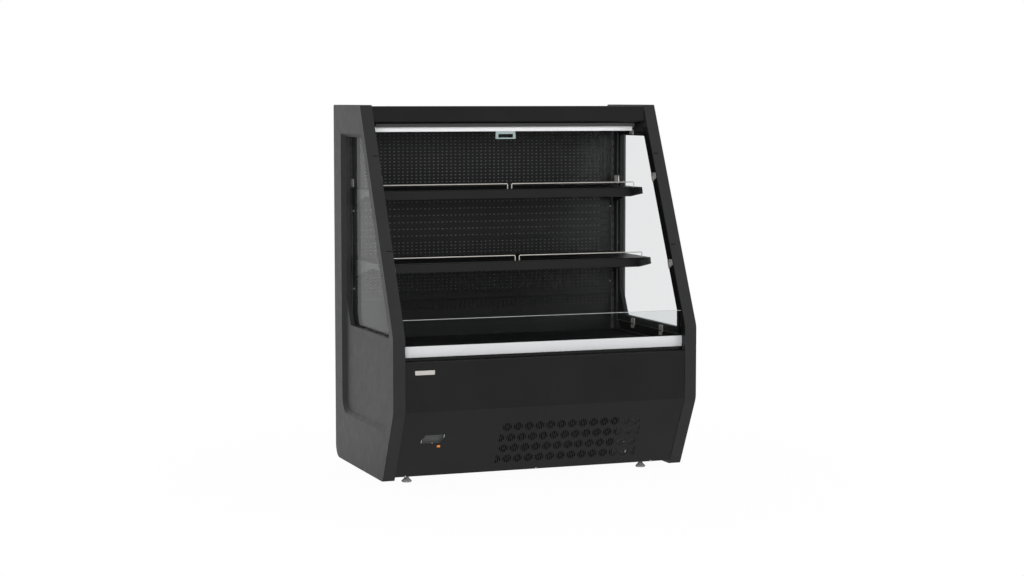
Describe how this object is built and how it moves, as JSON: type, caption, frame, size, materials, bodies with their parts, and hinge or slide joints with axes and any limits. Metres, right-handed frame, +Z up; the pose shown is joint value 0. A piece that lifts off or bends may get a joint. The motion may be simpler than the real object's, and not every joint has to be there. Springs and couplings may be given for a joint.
{
  "type": "open multideck display fridge",
  "caption": "Plug-in open-front chiller with glazed end walls, hook-on shelves, a pull-down night blind and a ventilated lower panel.",
  "frame": {"origin": "middle of the floor rectangle under the cabinet", "axes": "+Z up, +Y from the open front to the back, +X to the right as seen from the front"},
  "size_m": [1.22, 0.775, 1.424],
  "materials": {
    "moulding": "matte",
    "canopy_paint": "satin",
    "panel_paint": "satin",
    "interior_paint": "satin",
    "clear_glass": "gloss",
    "clip_steel": "satin",
    "frame_steel": "satin",
    "foam_panel": "matte",
    "lamp_white": "satin",
    "blind_aluminium": "satin",
    "cassette_grey": "satin",
    "coil_black": "satin",
    "blind_cloth": "matte",
    "handle_plastic": "satin",
    "black_plastic": "matte",
    "bumper_silver": "satin",
    "controller_grey": "satin",
    "rocker_orange": "gloss",
    "coil_aluminium": "satin",
    "compressor_black": "satin",
    "copper_pipe": "satin",
    "foot_grey": "matte"
  },
  "bodies": {
    "cabinet": {"end_wall_right": "moulding", "end_wall_left": "moulding", "side_glass_right": "clear_glass", "side_glass_left": "clear_glass", "glass_clips": "clip_steel", "base_frame": "frame_steel", "insulated_tub": "foam_panel", "insulated_back": "foam_panel", "roof_panel": "canopy_paint", "canopy_fascia": "canopy_paint", "led_lamp": "lamp_white", "air_outlet": "black_plastic", "canopy_lining": "canopy_paint", "blind_cassette": "cassette_grey", "duct_panel_upper": "interior_paint", "duct_panel_lower": "interior_paint", "uprights": "interior_paint", "screws": "clip_steel", "deck_trays": "interior_paint", "return_grille": "interior_paint", "glass_channel": "black_plastic", "front_glass": "clear_glass", "front_bumper": "bumper_silver", "lower_front_panel": "panel_paint", "controller_body": "controller_grey", "switch_housing": "black_plastic", "condenser_coil": "coil_black", "condenser_shroud": "frame_steel", "compressor": "compressor_black", "refrigerant_pipes": "copper_pipe", "electrical_box": "frame_steel", "drip_tray": "black_plastic", "evaporator_coil": "coil_aluminium", "evaporator_fan_plate": "frame_steel", "rear_cover": "frame_steel", "mains_gland": "black_plastic"},
    "blind": {"blind_rail": "blind_aluminium", "blind_handle": "handle_plastic", "blind_fabric": "blind_cloth"},
    "blind_roller": {"blind_roller": "blind_cloth"},
    "shelf_upper": {"shelf_tray_upper": "interior_paint", "shelf_brackets_upper": "interior_paint", "price_rail_upper": "black_plastic", "wire_stops_upper": "clip_steel"},
    "shelf_lower": {"shelf_tray_lower": "interior_paint", "shelf_brackets_lower": "interior_paint", "price_rail_lower": "black_plastic", "wire_stops_lower": "clip_steel"},
    "condenser_fan": {"condenser_fan": "black_plastic"},
    "evaporator_fan_left": {"evaporator_fan_left": "black_plastic"},
    "evaporator_fan_right": {"evaporator_fan_right": "black_plastic"},
    "switch_rocker": {"switch_rocker": "rocker_orange"},
    "controller_key_1": {"controller_key_1": "controller_grey"},
    "controller_key_2": {"controller_key_2": "controller_grey"},
    "controller_key_3": {"controller_key_3": "controller_grey"},
    "foot_front_left": {"foot_front_left": "foot_grey"},
    "foot_front_right": {"foot_front_right": "foot_grey"},
    "foot_rear_left": {"foot_rear_left": "foot_grey"},
    "foot_rear_right": {"foot_rear_right": "foot_grey"}
  },
  "joints": [
    {"name": "blind_pull", "type": "slide", "parent": "cabinet", "child": "blind", "axis": [0, -0.4344, -0.9007], "range_m": [0, 0.78], "stiffness_N_per_m": 14, "springref_m": -1.5},
    {"name": "blind_roller_spin", "type": "hinge", "parent": "cabinet", "child": "blind_roller", "pos_m": [0, 0.0715, 1.3575], "axis": [1, 0, 0], "range_deg": [-2985, 0]},
    {"name": "shelf_upper_lift", "type": "slide", "parent": "cabinet", "child": "shelf_upper", "axis": [0, 0, 1], "range_m": [0, 0.008]},
    {"name": "shelf_lower_lift", "type": "slide", "parent": "cabinet", "child": "shelf_lower", "axis": [0, 0, 1], "range_m": [0, 0.008]},
    {"name": "condenser_fan_spin", "type": "hinge", "parent": "cabinet", "child": "condenser_fan", "pos_m": [0.11, -0.1775, 0.196], "axis": [0, 1, 0], "continuous": true},
    {"name": "evaporator_fan_left_spin", "type": "hinge", "parent": "cabinet", "child": "evaporator_fan_left", "pos_m": [-0.23, -0.1695, 0.43925], "axis": [0, 1, 0], "continuous": true},
    {"name": "evaporator_fan_right_spin", "type": "hinge", "parent": "cabinet", "child": "evaporator_fan_right", "pos_m": [0.23, -0.1695, 0.43925], "axis": [0, 1, 0], "continuous": true},
    {"name": "switch_rock", "type": "hinge", "parent": "cabinet", "child": "switch_rocker", "pos_m": [-0.412, -0.30982, 0.16136], "axis": [1, 0, 0], "range_deg": [-16, 0]},
    {"name": "key_1_press", "type": "slide", "parent": "cabinet", "child": "controller_key_1", "axis": [0, 0.8912, 0.4537], "range_m": [0, 0.0008], "stiffness_N_per_m": 400},
    {"name": "key_2_press", "type": "slide", "parent": "cabinet", "child": "controller_key_2", "axis": [0, 0.8912, 0.4537], "range_m": [0, 0.0008], "stiffness_N_per_m": 400},
    {"name": "key_3_press", "type": "slide", "parent": "cabinet", "child": "controller_key_3", "axis": [0, 0.8912, 0.4537], "range_m": [0, 0.0008], "stiffness_N_per_m": 400},
    {"name": "foot_front_left_turn", "type": "hinge", "parent": "cabinet", "child": "foot_front_left", "pos_m": [-0.484, -0.1475, 0.01], "axis": [0, 0, 1], "continuous": true},
    {"name": "foot_front_right_turn", "type": "hinge", "parent": "cabinet", "child": "foot_front_right", "pos_m": [0.484, -0.1475, 0.01], "axis": [0, 0, 1], "continuous": true},
    {"name": "foot_rear_left_turn", "type": "hinge", "parent": "cabinet", "child": "foot_rear_left", "pos_m": [-0.484, 0.3125, 0.01], "axis": [0, 0, 1], "continuous": true},
    {"name": "foot_rear_right_turn", "type": "hinge", "parent": "cabinet", "child": "foot_rear_right", "pos_m": [0.484, 0.3125, 0.01], "axis": [0, 0, 1], "continuous": true}
  ],
  "couplings": [
    {"joint": "blind_roller_spin", "follows": "blind_pull", "rad_per_m": -66.667}
  ]
}
